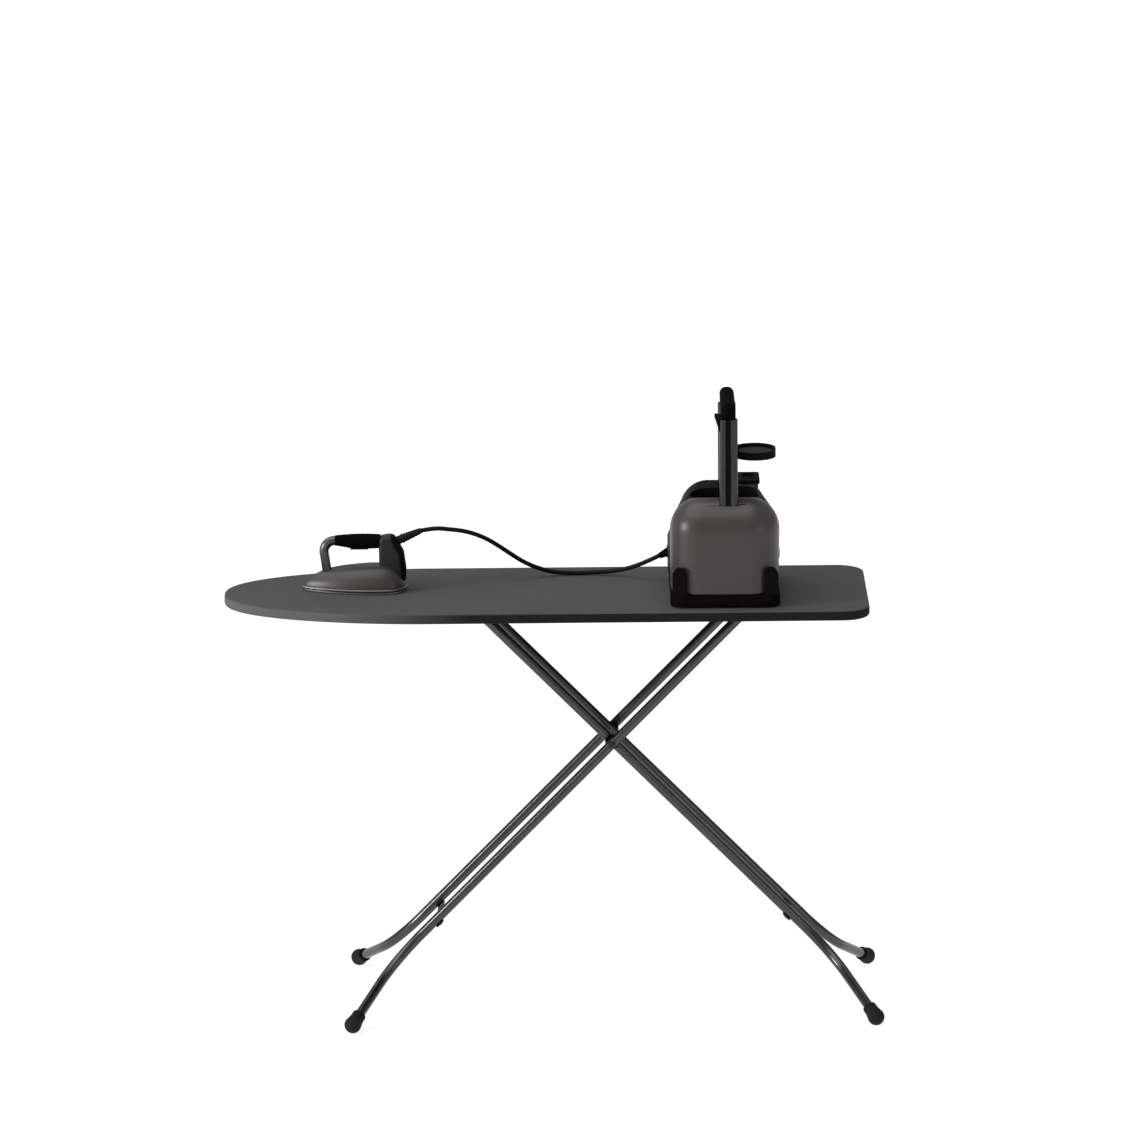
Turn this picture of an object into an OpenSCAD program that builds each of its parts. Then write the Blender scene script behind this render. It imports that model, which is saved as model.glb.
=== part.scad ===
/* [Board] */
// Length of the ironing surface
board_l = 1290; // [1240:10:1340]
// Width of the ironing surface
board_w = 400; // [380:5:430]
// Thickness of the padded board, cover included
board_t = 22; // [20:1:26]
// Radius of the two corners at the square end
board_corner_r = 55; // [40:5:80]
// Distance of the board's middle from the origin, towards the nose
board_shift = 14; // [0:1:30]
// Length of the tapered nose end
nose_l = 405; // [360:5:440]

/* [Legs] */
// Angle of each leg above the floor
leg_angle = 45.4; // [43:0.1:48]
// Length of a leg from the cross pivot to its foot, along the leg
leg_lower = 747; // [720:1:770]
// Length of a leg from the cross pivot to its top
leg_upper = 369; // [355:1:380]
// Outside diameter of the leg tubes
tube_d = 20; // [18:1:22]
// Wall of the leg tubes
tube_wall = 1.2; // [1:0.1:2]
// Distance of the outer leg's tubes from the middle plane
outer_half = 70; // [66:1:76]
// Distance of the inner leg's tubes from the middle plane
inner_half = 42; // [40:1:44]
// Distance of the outer leg's feet from the middle plane
outer_foot_half = 240; // [225:1:255]
// Distance of the inner leg's feet from the middle plane
inner_foot_half = 217; // [205:1:230]
// Sideways bend at the bottom of each tube
splay_angle = 55; // [50:1:60]
// Radius of that bend
splay_r = 150; // [120:5:160]
// Radius of the rubber feet
foot_r = 17; // [16:0.5:19]

/* [Station] */
// Width of the steam station
station_w = 218; // [212:1:224]
// Depth of the steam station
station_d = 284; // [276:1:292]
// Height of the grip's centre above the board
grip_z = 394; // [385:1:400]
// Wall of the plastic shells
shell_wall = 3; // [2.5:0.1:3.5]

/* [Iron] */
// Length of the soleplate
sole_l = 212; // [205:1:220]
// Half the width of the soleplate
sole_half = 52; // [48:1:56]
// Height of the grip's middle above the board
iron_grip_z = 100; // [98:1:104]

/* [Hose] */
// Diameter of the steam hose
hose_d = 9; // [8:0.5:10]

/* [Hidden] */
$fn = 48;
eps = 0.5;
running = 0.05;
gap = 0.3;
tube_r = tube_d / 2;

// A round tube swept along a list of points; up is any direction the path never follows
function unit(v) = v / norm(v);
function path_dir(path, i) = unit(path[min(i + 1, len(path) - 1)] - path[max(i - 1, 0)]);
function path_ring(path, i, r, sides, up) = let (
    d = path_dir(path, i),
    s = unit(cross(d, up)),
    t = cross(s, d)
) [for (k = [0 : sides - 1]) let (a = 360 * k / sides) path[i] + r * (cos(a) * s + sin(a) * t)];

module swept_tube(path, d, sides, up) {
    rings = len(path);
    points = [for (i = [0 : rings - 1]) each path_ring(path, i, d / 2, sides, up)];
    start_cap = [[for (k = [0 : sides - 1]) k]];
    end_cap = [[for (k = [sides - 1 : -1 : 0]) (rings - 1) * sides + k]];
    walls = [for (i = [0 : rings - 2], k = [0 : sides - 1])
        let (a = i * sides + k, b = i * sides + (k + 1) % sides)
        each [[a, a + sides, b], [b, a + sides, b + sides]]];
    polyhedron(points = points, faces = concat(start_cap, walls, end_cap));
}

// Heights, from the floor up
foot_z = 16;
cross_x = 117;
cross_z = foot_z + leg_lower * sin(leg_angle);
top_z = cross_z + leg_upper * sin(leg_angle);
board_bottom = top_z + 18.4;
board_top = board_bottom + board_t;
outer_top_x = cross_x + leg_upper * cos(leg_angle);
inner_top_x = cross_x - leg_upper * cos(leg_angle);
folded_inner_x = outer_top_x - 2 * leg_upper;

// Board outline: a square end with round corners and a nose on a superellipse
nose_power = 1.8;
nose_round = 2.3;
corner_steps = 12;
nose_steps = 40;

function nose_point(u, side, inset) = [
    -board_shift - board_l / 2 + nose_l - (nose_l - inset) * pow(sin(u), 2 / nose_power),
    side * (board_w / 2 - inset) * pow(cos(u), 2 / nose_round)
];

function board_outline(inset) = let (
    r = board_corner_r - inset,
    cx = board_l / 2 - board_shift - board_corner_r,
    cy = board_w / 2 - board_corner_r
) concat(
    [for (i = [0 : corner_steps]) let (a = -90 + 90 * i / corner_steps) [cx + r * cos(a), -cy + r * sin(a)]],
    [for (i = [0 : corner_steps]) let (a = 90 * i / corner_steps) [cx + r * cos(a), cy + r * sin(a)]],
    [for (i = [0 : nose_steps]) nose_point(90 * i / nose_steps, 1, inset)],
    [for (i = [1 : nose_steps]) nose_point(90 - 90 * i / nose_steps, -1, inset)]
);

module board_slab(inset, z0, z1) {
    translate([0, 0, z0])
        linear_extrude(z1 - z0) polygon(board_outline(inset));
}

// Layers of the board, above its underside
hem_w = 26;
hem_t = 1.6;
cover_t = 1.6;
frame_top = board_top - 7.5;
sheet_t = 1.5;

module board_frame() {
    color("dimgray") difference() {
        board_slab(3, board_bottom + hem_t, frame_top);
        board_slab(3 + sheet_t, board_bottom, frame_top - sheet_t);
    }
}

module board_pad() {
    color("lightgray") board_slab(3, frame_top, board_top - cover_t);
}

module board_cover() {
    color("#494949") difference() {
        board_slab(0, board_bottom, board_top);
        board_slab(3, board_bottom + hem_t, board_top - cover_t);
        board_slab(hem_w, board_bottom - eps, board_bottom + 2 * hem_t);
    }
}

// Rail under the board: the inner leg's cross bar slides in its slots, and the lever hooks over the bar
rail_half = 26;
rail_wall = 2.5;
rail_depth = 32;
rail_end = -52;
bar_r = 6;
slot_r = bar_r + 0.6;
notch_pitch = 36;
lever_x = -74;
lever_z = board_bottom - 9;
lever_pin_r = 4;

module lock_rail() {
    x0 = folded_inner_x - 26;
    color("#3a3a3a") difference() {
        translate([x0, -rail_half, board_bottom - rail_depth])
            cube([rail_end - x0, 2 * rail_half, rail_depth]);
        translate([x0 - eps, -rail_half + rail_wall, board_bottom - rail_depth - eps])
            cube([rail_end - x0 + 2 * eps, 2 * (rail_half - rail_wall), rail_depth - rail_wall + eps]);
        translate([folded_inner_x, -rail_half - eps, top_z - slot_r])
            cube([inner_top_x - folded_inner_x, 2 * (rail_half + eps), 2 * slot_r]);
        for (x = [folded_inner_x, inner_top_x])
            translate([x, 0, top_z]) rotate([90, 0, 0])
                cylinder(r = slot_r, h = 2 * (rail_half + eps), center = true);
        for (i = [1 : 5])
            translate([inner_top_x - i * notch_pitch, 0, top_z + 3]) rotate([90, 0, 0])
                cylinder(r = slot_r, h = 2 * (rail_half + eps), center = true);
        translate([lever_x, 0, lever_z]) rotate([90, 0, 0])
            cylinder(r = lever_pin_r, h = 2 * (rail_half + eps), center = true);
        translate([inner_top_x - 24, -14, board_bottom - 2 * rail_wall])
            cube([rail_end - inner_top_x + 24 + eps, 28, 3 * rail_wall]);
    }
}

module lever_pin() {
    color("silver") translate([lever_x, 0, lever_z]) rotate([90, 0, 0]) union() {
        cylinder(r = lever_pin_r, h = 2 * rail_half + 4, center = true);
        for (s = [-1, 1])
            translate([0, 0, s * (rail_half + 2)]) cylinder(r = 6.5, h = 3, center = true);
    }
}

// Pawl end hooks over the cross bar; the other end carries the grip
lever_half = 10;
lever_t = 6;
hook_gap = 0.6;
lever_reach = 76;

module height_lever() {
    hook_x = inner_top_x - bar_r - hook_gap;
    color("#55585a") difference() {
        union() {
            translate([hook_x - 8, -lever_half, lever_z - 1])
                cube([lever_reach - hook_x + 8, 2 * lever_half, lever_t]);
            translate([hook_x - 8, -lever_half, top_z - 3])
                cube([8, 2 * lever_half, lever_z - top_z + 4]);
            translate([lever_x, 0, lever_z]) rotate([90, 0, 0])
                cylinder(r = 8, h = 2 * lever_half, center = true);
        }
        translate([lever_x, 0, lever_z]) rotate([90, 0, 0])
            cylinder(r = lever_pin_r + running, h = 2 * lever_half + 2 * eps, center = true);
    }
}

module lever_grip() {
    color("#1c1c1c") difference() {
        hull() for (x = [lever_reach - 30, lever_reach + 42], y = [-1, 1])
            translate([x, y * 9, lever_z + 1]) sphere(r = 8, $fn = 24);
        translate([lever_reach - 60, -lever_half - 0.05, lever_z - 1.05])
            cube([60, 2 * lever_half + 0.1, lever_t + 0.1]);
    }
}

// Torsion spring on the lever's pin: a helix with a leg at each end
spring_wire = 1.6;
spring_r = lever_pin_r + 1.3;
spring_pitch = 2.2;
spring_turns = 3.5;

module lever_spring() {
    steps = 12;
    coil = [for (i = [0 : spring_turns * steps]) let (a = 360 * i / steps)
        [spring_r * sin(a), spring_pitch * i / steps, spring_r * cos(a)]];
    first = [-14, 0, spring_r];
    last = [-14, spring_pitch * spring_turns, -spring_r];
    color("silver") translate([lever_x, lever_half + 2, lever_z])
        swept_tube(concat([first], coil, [last]), spring_wire, 8, [0, 1, 0]);
}

// Bracket that carries the outer leg's top bar
ear_y = 55.5;
ear_t = 3;

module hinge_bracket() {
    plate_l = 60;
    color("#3a3a3a") difference() {
        union() {
            translate([outer_top_x - plate_l / 2, -ear_y - ear_t / 2, board_bottom - rail_wall])
                cube([plate_l, 2 * ear_y + ear_t, rail_wall]);
            for (s = [-1, 1]) {
                translate([outer_top_x, s * ear_y, top_z]) rotate([90, 0, 0])
                    cylinder(r = 12, h = ear_t, center = true);
                translate([outer_top_x - 12, s * ear_y - ear_t / 2, top_z])
                    cube([24, ear_t, board_bottom - top_z]);
            }
        }
        translate([outer_top_x, 0, top_z]) rotate([90, 0, 0])
            cylinder(r = bar_r + running, h = 3 * ear_y, center = true);
    }
}

// Legs: each is drawn along +X from the cross pivot down, then turned into place
end_past = 12;
bolt_r = 4;
brace_s = 510;
brace_w = 18;
brace_t = 2.5;

module as_outer_leg() {
    translate([cross_x, 0, cross_z]) rotate([0, 180 - leg_angle, 0]) children();
}

module as_inner_leg() {
    translate([cross_x, 0, cross_z]) rotate([0, leg_angle, 0]) children();
}

function splay_out(rise) = (rise - splay_r * (1 - cos(splay_angle))) / sin(splay_angle);
function bend_start(rise) = leg_lower - splay_r * sin(splay_angle) - splay_out(rise) * cos(splay_angle);

// One leg's tube: straight, one bend outwards, straight to the foot. Each length is drawn a little
// narrower than the one before it and starts a little inside it.
swage = 0.1;
lap = 5;
lap_angle = 2;

module leg_sweep(r, half, foot_half, past) {
    rise = foot_half - half;
    straight = bend_start(rise) + leg_upper + end_past;
    translate([-leg_upper - end_past - past, half, 0]) rotate([0, 90, 0])
        cylinder(r = r, h = straight + past);
    translate([bend_start(rise), half + splay_r, 0]) rotate([0, 0, -90 - lap_angle])
        rotate_extrude(angle = splay_angle + lap_angle) translate([splay_r, 0]) circle(r = r - swage);
    translate([leg_lower, foot_half, 0]) rotate([0, 0, splay_angle]) rotate([0, -90, 0])
        translate([0, 0, -past]) cylinder(r = r - 2 * swage, h = splay_out(rise) + past + lap);
}

module leg_tube(half, foot_half) {
    difference() {
        leg_sweep(tube_r, half, foot_half, 0);
        leg_sweep(tube_r - tube_wall, half, foot_half, eps);
        translate([0, half, 0]) rotate([90, 0, 0])
            cylinder(r = bolt_r + running, h = 3 * tube_r, center = true);
        translate([-leg_upper, half, 0]) rotate([90, 0, 0])
            cylinder(r = bar_r, h = 3 * tube_r, center = true);
    }
}

module outer_tube(side) {
    color("#5c5f61") as_outer_leg() mirror([0, side, 0]) leg_tube(outer_half, outer_foot_half);
}

module inner_tube(side) {
    color("#5c5f61") as_inner_leg() mirror([0, side, 0]) leg_tube(inner_half, inner_foot_half);
}

module leg_bar(half) {
    translate([-leg_upper, 0, 0]) rotate([90, 0, 0])
        cylinder(r = bar_r, h = 2 * (half + tube_r + 1.5), center = true);
}

module outer_top_bar() {
    color("#5c5f61") as_outer_leg() leg_bar(outer_half);
}

module inner_cross_bar() {
    color("#5c5f61") as_inner_leg() leg_bar(inner_half);
}

// Flat strap across the two tubes of one leg, with a rivet head at each end
module leg_brace(half) {
    reach = half + tube_r - 2;
    translate([brace_s - brace_w / 2, -reach, tube_r]) cube([brace_w, 2 * reach, brace_t]);
    for (s = [-1, 1])
        translate([brace_s, s * half, tube_r + brace_t]) cylinder(r1 = 4.5, r2 = 3, h = 2);
}

module outer_brace() {
    color("#3a3a3a") as_outer_leg() leg_brace(outer_half);
}

module inner_brace() {
    color("#3a3a3a") as_inner_leg() mirror([0, 0, 1]) leg_brace(inner_half);
}

// Rubber foot: a sleeve on the tube that swells to a round end
module foot_cap(foot_half) {
    sleeve = 30;
    neck_r = tube_r + 2.5;
    translate([leg_lower, foot_half, 0]) rotate([0, 0, splay_angle]) rotate([0, -90, 0]) difference() {
        union() {
            sphere(r = foot_r);
            cylinder(r1 = foot_r, r2 = neck_r, h = sleeve);
            translate([0, 0, sleeve - 6]) cylinder(r = neck_r + 1.5, h = 6);
        }
        cylinder(r = tube_r - 2 * swage + running, h = sleeve + eps);
    }
}

module flat_on_floor() {
    difference() {
        children();
        translate([-900, -400, -40]) cube([1800, 800, 40]);
    }
}

module outer_foot(side) {
    color("#151515") flat_on_floor() as_outer_leg() mirror([0, side, 0]) foot_cap(outer_foot_half);
}

module inner_foot(side) {
    color("#151515") flat_on_floor() as_inner_leg() mirror([0, side, 0]) foot_cap(inner_foot_half);
}

// Bolt from the outer tube through the block and the inner tube
module pivot_bolt(side) {
    inside = inner_half - tube_r - 4;
    outside = outer_half + tube_r;
    color("silver") as_outer_leg() mirror([0, side, 0]) translate([0, inside, 0]) rotate([-90, 0, 0]) union() {
        cylinder(r = bolt_r, h = outside - inside + 1);
        cylinder(r = 7, h = 4 - gap, $fn = 6);
        translate([0, 0, outside - inside]) cylinder(r1 = 8, r2 = 5.5, h = 3.5);
    }
}

// Plastic block between the two tubes, saddled on the inner one
module pivot_block(side) {
    color("#1c1c1c") as_inner_leg() mirror([0, side, 0]) difference() {
        translate([0, inner_half + 2, 0]) rotate([-90, 0, 0])
            cylinder(r = 14, h = outer_half - tube_r - gap - inner_half - 2);
        translate([-20, inner_half, 0]) rotate([0, 90, 0]) cylinder(r = tube_r, h = 40);
        translate([0, inner_half, 0]) rotate([-90, 0, 0]) cylinder(r = bolt_r + running, h = 40);
    }
}

// Steam station: everything is drawn about the middle of its base, on the board
station_x = 344;
station_y = -32;

module at_station() {
    translate([station_x, station_y, board_top]) children();
}

module rounded_slab(w, d, r, z0, z1) {
    translate([0, 0, z0]) linear_extrude(z1 - z0) union() {
        square([w - 2 * r, d], center = true);
        square([w, d - 2 * r], center = true);
        for (x = [-1, 1], y = [-1, 1])
            translate([x * (w / 2 - r), y * (d / 2 - r)]) circle(r = r);
    }
}

// Outer form of the station's body, drawn g inside its true surface
body_low = 27;
side_r = 60;
side_h = 73;
front_r = 64;
front_x = 45;
front_top = 212;
rear_r = 56;
rear_x = 30;
rear_top = 211;

module station_form(g) {
    hull() for (x = [-1, 1]) {
        translate([x * (station_w / 2 - 1 - side_r), -80, body_low + g])
            cylinder(r = side_r - g, h = side_h, $fn = 64);
        translate([x * (station_w / 2 + 3 - side_r), 80, body_low + g])
            cylinder(r = side_r - g, h = side_h, $fn = 64);
        translate([x * front_x, -76, front_top - front_r]) sphere(r = front_r - g, $fn = 48);
        translate([x * rear_x, 80, rear_top - rear_r]) sphere(r = rear_r - g, $fn = 48);
    }
}

split_y = -64;
post_w = 36;
post_d = 22;
post_x = 8;
front_post_y = -100;
rear_post_y = 60;
post_low = 170;

module half_space(front) {
    y = front ? -300 : split_y + 0.2;
    translate([-200, y, 0]) cube([400, front ? split_y + 300 : 300, 400]);
}

module post_slots() {
    for (y = [front_post_y, rear_post_y])
        translate([post_x - post_w / 2 - 0.5, y - post_d / 2 - 0.5, 60])
            cube([post_w + 1, post_d + 1, 200]);
}

// Water tank: its bay is open at the top
tank_x = 50;
tank_y = 68;
tank_w = 40;
tank_l = 76;
tank_low = 60;
tank_high = 214;
tank_gap = 1.2;

module tank_bay(g) {
    translate([tank_x - tank_w / 2 - g, tank_y - tank_l / 2 - g, tank_low - g])
        cube([tank_w + 2 * g, tank_l + 2 * g, 260]);
}

// Recess in the top where the iron is parked
mat_z = 178;

module park_recess(g) {
    translate([0, -35, 0]) rounded_slab(134 + 2 * g, 90 + 2 * g, 24 + g, mat_z - g, 260);
}

module front_shell() {
    color("#5c5651") at_station() difference() {
        intersection() {
            station_form(0);
            half_space(true);
        }
        station_form(shell_wall);
        post_slots();
        park_recess(0.2);
    }
}

module rear_housing() {
    color("#1f1f1f") at_station() difference() {
        intersection() {
            station_form(0);
            half_space(false);
        }
        difference() {
            station_form(shell_wall);
            park_recess(shell_wall);
            tank_bay(tank_gap + shell_wall);
        }
        park_recess(0);
        tank_bay(tank_gap);
        post_slots();
        translate([0, 141, 56]) cube([29, 60, 21], center = true);
        translate([112, 84, 60]) rotate([0, 90, 0]) cylinder(r = 9.3, h = 30, center = true);
    }
}

module park_mat() {
    color("#262626") at_station() difference() {
        translate([0, -35, 0]) rounded_slab(131, 87, 22.5, mat_z, mat_z + 4);
        post_slots();
        for (x = [-48 : 16 : 48])
            translate([x - 3, -70, mat_z + 2.5]) cube([6, 68, 4]);
    }
}

module station_base() {
    color("#141414") at_station() difference() {
        rounded_slab(station_w, station_d, 25, 3, body_low - 0.2);
        rounded_slab(station_w - 8, station_d - 8, 21, 6.5, body_low + 1);
    }
}

post_r = 14;
cord_post_top = 82;

// Four upright posts at the base's corners, for winding the cord; each is hollowed to the body behind it
module cord_posts() {
    color("#171717") at_station() difference() {
        for (x = [-91, 91], y = [-1, 1])
            translate([x, y * (station_d / 2 - 6.2), 0]) rotate([90, 0, 0]) union() {
                translate([0, cord_post_top - post_r, 0]) cylinder(r = post_r, h = 12, center = true);
                translate([-post_r, body_low, -6])
                    cube([2 * post_r, cord_post_top - post_r - body_low, 12]);
            }
        station_form(-0.2);
    }
}

module station_feet() {
    color("#101010") at_station() for (x = [-80, 80], y = [-112, 112])
        translate([x, y, 0.2]) cylinder(r = 11, h = 2.8);
}

module boiler() {
    color("silver") at_station() translate([-44, 20, 78]) rotate([90, 0, 0]) union() {
        cylinder(r = 38, h = 110, center = true);
        for (z = [-56, 56]) translate([0, 0, z]) cylinder(r = 30, h = 4, center = true);
        translate([0, 0, -63]) cylinder(r = 7, h = 12, center = true);
    }
}

module pump() {
    color("#8a8a8a") at_station() translate([50, -40, 34]) union() {
        translate([-20, -30, 0]) cube([40, 60, 34]);
        translate([0, 0, 34]) cylinder(r = 12, h = 14);
    }
}

module circuit_board() {
    color("darkgreen") at_station() translate([-20, -94, 36]) union() {
        cube([76, 2, 62]);
        translate([8, 2, 8]) cube([18, 10, 22]);
        translate([40, 2, 30]) cube([24, 12, 16]);
    }
}

// Mains inlet at the rear: a recessed socket with three pins, open to +Y
inlet_z = 56;

module mains_inlet() {
    color("#0f0f0f") at_station() translate([0, 129.5, inlet_z]) difference() {
        cube([28, 22, 20], center = true);
        translate([0, 4, 0]) cube([23, 20, 15], center = true);
    }
}

module inlet_pins() {
    color("silver") at_station() for (p = [[-7, -2], [0, 3], [7, -2]])
        translate([p[0] - 1, 123.5, inlet_z + p[1] - 2]) cube([2, 8.5, 4]);
}

module power_button() {
    color("#2c2c2c") at_station() translate([100, 84, 60]) rotate([0, 90, 0]) cylinder(r = 9, h = 14);
}

// Gland where the steam hose leaves the station's left side
gland_x = -111;
gland_y = 102;
gland_z = 61;
gland_tilt = 26;
gland_l = 22;

module hose_gland() {
    color("#0f0f0f") at_station() difference() {
        union() {
            translate([gland_x + 3, gland_y, gland_z]) rotate([0, -90 - gland_tilt, 0])
                cylinder(r1 = 9.5, r2 = hose_d / 2 + 1.3, h = gland_l);
            translate([gland_x + 6, gland_y, gland_z]) rotate([0, -90, 0]) cylinder(r = 13, h = 8);
        }
        translate([gland_x + 3, gland_y, gland_z]) rotate([0, -90 - gland_tilt, 0])
            translate([0, 0, gland_l - 4]) cylinder(r = hose_d / 2 + gap, h = 5);
        station_form(-0.05);
    }
}

// Carrying handle: two posts, a grip across them, a side tray and a hose hook
grip_r = 13;
post_top = 375;

module handle_post(y) {
    color("#6b6d6e") at_station() difference() {
        translate([post_x, y, 0]) rounded_slab(post_w, post_d, 6, post_low, post_top);
        translate([post_x, y, 0]) rounded_slab(post_w - 5, post_d - 5, 3.5, post_low - eps, post_top + eps);
        for (s = [-1, 1])
            translate([post_x - 2, y + s * post_d / 2 - 1.2, post_low - eps])
                cube([4, 2.4, post_top - post_low - 6]);
    }
}

// Grip: a round bar over the two posts, with an end that stands on each
module handle_grip() {
    color("#121212") at_station() union() {
        hull() for (y = [front_post_y, rear_post_y], x = [-1.5, 1.5])
            translate([post_x + x, y, grip_z]) sphere(r = grip_r, $fn = 32);
        for (y = [front_post_y, rear_post_y])
            translate([post_x, y, 0]) rounded_slab(28, 25, 12, post_top + 0.2, grip_z);
    }
}

tray_z = 294;
tray_x = 61;
tray_y = -30;

module side_tray() {
    color("#111111") at_station() translate([tray_x, tray_y, tray_z]) difference() {
        union() {
            for (s = [-1, 1]) translate([0, s * 8, -8]) cylinder(r = 42, h = 15);
            translate([-42, -8, -8]) cube([84, 16, 15]);
        }
        for (s = [-1, 1]) translate([0, s * 8, -3]) cylinder(r = 37, h = 12);
        translate([-37, -8, -3]) cube([74, 16, 12]);
    }
}

module tray_mat() {
    color("#6a6a6a") at_station() translate([tray_x, tray_y, tray_z - 3]) union() {
        for (s = [-1, 1]) translate([0, s * 8, 0]) cylinder(r = 36.8, h = 3);
        translate([-36.8, -8, 0]) cube([73.6, 16, 3]);
    }
}

// Arm that ties the tray to both posts
module tray_bracket() {
    span = rear_post_y - front_post_y - post_d;
    color("#151515") at_station() difference() {
        translate([post_x - 9, front_post_y + post_d / 2, tray_z - 10]) cube([26, span, 20]);
        for (s = [-1, 1])
            translate([tray_x, tray_y + s * 8, tray_z - 8.05]) cylinder(r = 42.05, h = 15.1);
        translate([tray_x - 42.05, tray_y - 8, tray_z - 8.05]) cube([84, 16, 15.1]);
    }
}

module hose_hook() {
    color("#121212") at_station() translate([post_x - post_w / 2, front_post_y - 8, post_top - 25]) rotate([-90, 0, 0])
        linear_extrude(16) polygon([[0, 0], [0, -25.2], [3, -25.2], [3, -35], [-10, -36], [-10, -31], [-2, -6]]);
}

module water_tank() {
    color("#3d4042") at_station() difference() {
        translate([tank_x - tank_w / 2, tank_y - tank_l / 2, tank_low])
            cube([tank_w, tank_l, tank_high - tank_low]);
        translate([tank_x - tank_w / 2 + 2.5, tank_y - tank_l / 2 + 2.5, tank_low + 2.5])
            cube([tank_w - 5, tank_l - 5, 200]);
    }
}

module tank_lid() {
    color("#1a1a1a") at_station() translate([tank_x, tank_y, 0]) difference() {
        rounded_slab(tank_w + 6, tank_l + 4, 8, tank_high, tank_high + 8);
        rounded_slab(22, 52, 8, tank_high + 4, tank_high + 12);
    }
}

// Iron: drawn from its nose, +X to the heel, z from the board's surface
iron_x = -504;
iron_y = 15;
wide_at = 150;

module at_iron() {
    translate([iron_x, iron_y, board_top]) children();
}

function sole_half_at(x) = x < wide_at
    ? sole_half * pow(sin(90 * x / wide_at), 0.8)
    : sole_half * pow(max(0, 1 - pow((x - wide_at) / (sole_l - wide_at), 2.6)), 0.5);

sole_marks = concat([0, 1, 3, 6], [for (x = [10 : 10 : 200]) x], [204, 207, 209, 211, 212]);

function sole_outline() = concat(
    [for (x = sole_marks) [x * sole_l / 212, -sole_half_at(x * sole_l / 212)]],
    [for (i = [len(sole_marks) - 2 : -1 : 1])
        let (x = sole_marks[i] * sole_l / 212) [x, sole_half_at(x)]]
);

// A slice of the iron's plan shrunk by g all round, about the point where it is widest
module sole_slice(g, z0, z1) {
    k = (sole_half - g) / sole_half;
    translate([wide_at * (1 - k), 0, z0]) scale([k, k, 1]) linear_extrude(z1 - z0) polygon(sole_outline());
}

module soleplate() {
    color("#9a9a9a") at_iron() sole_slice(1.5, 0.2, 4);
}

module sole_trim() {
    color("silver") at_iron() sole_slice(0, 4, 9);
}

module heater() {
    color("#777777") at_iron() sole_slice(8, 9, 17);
}

// Domed cover over the sole, drawn g inside its true surface
module cover_form(g) {
    hull() {
        sole_slice(2 + g, 9 - g, 10);
        sole_slice(7 + g, 29 - g, 30 - g);
        sole_slice(17 + g, 44 - g, 45 - g);
        sole_slice(32 + g, 52 - g, 53 - g);
    }
}

module iron_cover() {
    color("#46423f") at_iron() difference() {
        cover_form(0);
        cover_form(2.5);
        translate([0, 0, -50]) cube([500, 200, 118], center = true);
    }
}

// Front of the handle: a bent tube from the cover up to the grip
handle_x = 46;
handle_r = 9.5;
handle_bend = 22;
handle_lean = 8;
grip_x0 = 68;
grip_x1 = 156;

module iron_handle() {
    color("#7a7a78") at_iron() difference() {
        translate([handle_x + handle_bend, 0, iron_grip_z + 2 - handle_bend]) union() {
            rotate([90, 0, 0]) rotate([0, 0, 90]) rotate_extrude(angle = 90 + handle_lean)
                translate([handle_bend, 0]) circle(r = handle_r);
            rotate([0, -handle_lean, 0]) translate([-handle_bend, 0, -52])
                cylinder(r = handle_r - 0.15, h = 54);
        }
        cover_form(0);
    }
}

module iron_grip() {
    color("#14110f") at_iron() difference() {
        hull() {
            translate([grip_x0, 0, iron_grip_z + 2]) rotate([0, 90, 0]) cylinder(r = 10, h = 2);
            translate([grip_x0 + 22, 0, iron_grip_z + 0.5]) rotate([0, 90, 0]) cylinder(r = 12, h = 2);
            translate([grip_x0 + 48, 0, iron_grip_z - 1]) rotate([0, 90, 0]) cylinder(r = 13.5, h = 2);
            translate([grip_x1 - 4, 0, iron_grip_z - 1]) rotate([0, 90, 0]) cylinder(r = 13.2, h = 4 - gap);
        }
        translate([98.5, -7.5, iron_grip_z - 30]) cube([37, 15, 25]);
    }
}

module steam_trigger() {
    color("#3b3b3b") at_iron() translate([99, -7, iron_grip_z - 15.8]) cube([36, 14, 7.2]);
}

// Rear column: a hull over pairs of balls, each given by its length, its height and its radius
COLUMN_BALLS = [[167, 98, 10], [180, 95, 12], [190, 72, 14], [167, 46, 10.5], [194, 44, 14], [196, 27, 11]];

module column_form(g) {
    hull() for (p = COLUMN_BALLS, y = [-1, 1])
        translate([p[0], y * 8, p[1]]) sphere(r = p[2] + g, $fn = 32);
}

module iron_column() {
    color("#4a4b4c") at_iron() difference() {
        column_form(0);
        cover_form(0);
    }
}

// Black cover down the back of the column
module iron_rear_cover() {
    color("#111111") at_iron() difference() {
        translate([3.5, 0, 0.5]) column_form(-1);
        column_form(0.05);
        cover_form(0.05);
    }
}

relief_x = 192;
relief_z = 100;
relief_tilt = 23;
relief_l = 54;

module hose_relief() {
    color("#0f0f0f") at_iron() difference() {
        translate([relief_x, 0, relief_z]) rotate([0, 90 - relief_tilt, 0]) union() {
            cylinder(r1 = 9, r2 = hose_d / 2 + 1.2, h = relief_l);
            for (i = [0 : 6]) translate([0, 0, 12 + 5.5 * i]) cylinder(r = 9.6 - 0.5 * i, h = 3);
        }
        translate([relief_x, 0, relief_z]) rotate([0, 90 - relief_tilt, 0])
            translate([0, 0, relief_l - 4]) cylinder(r = hose_d / 2 + gap, h = 5);
        column_form(0.05);
        translate([3.5, 0, 0.5]) column_form(-0.95);
    }
}

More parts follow.
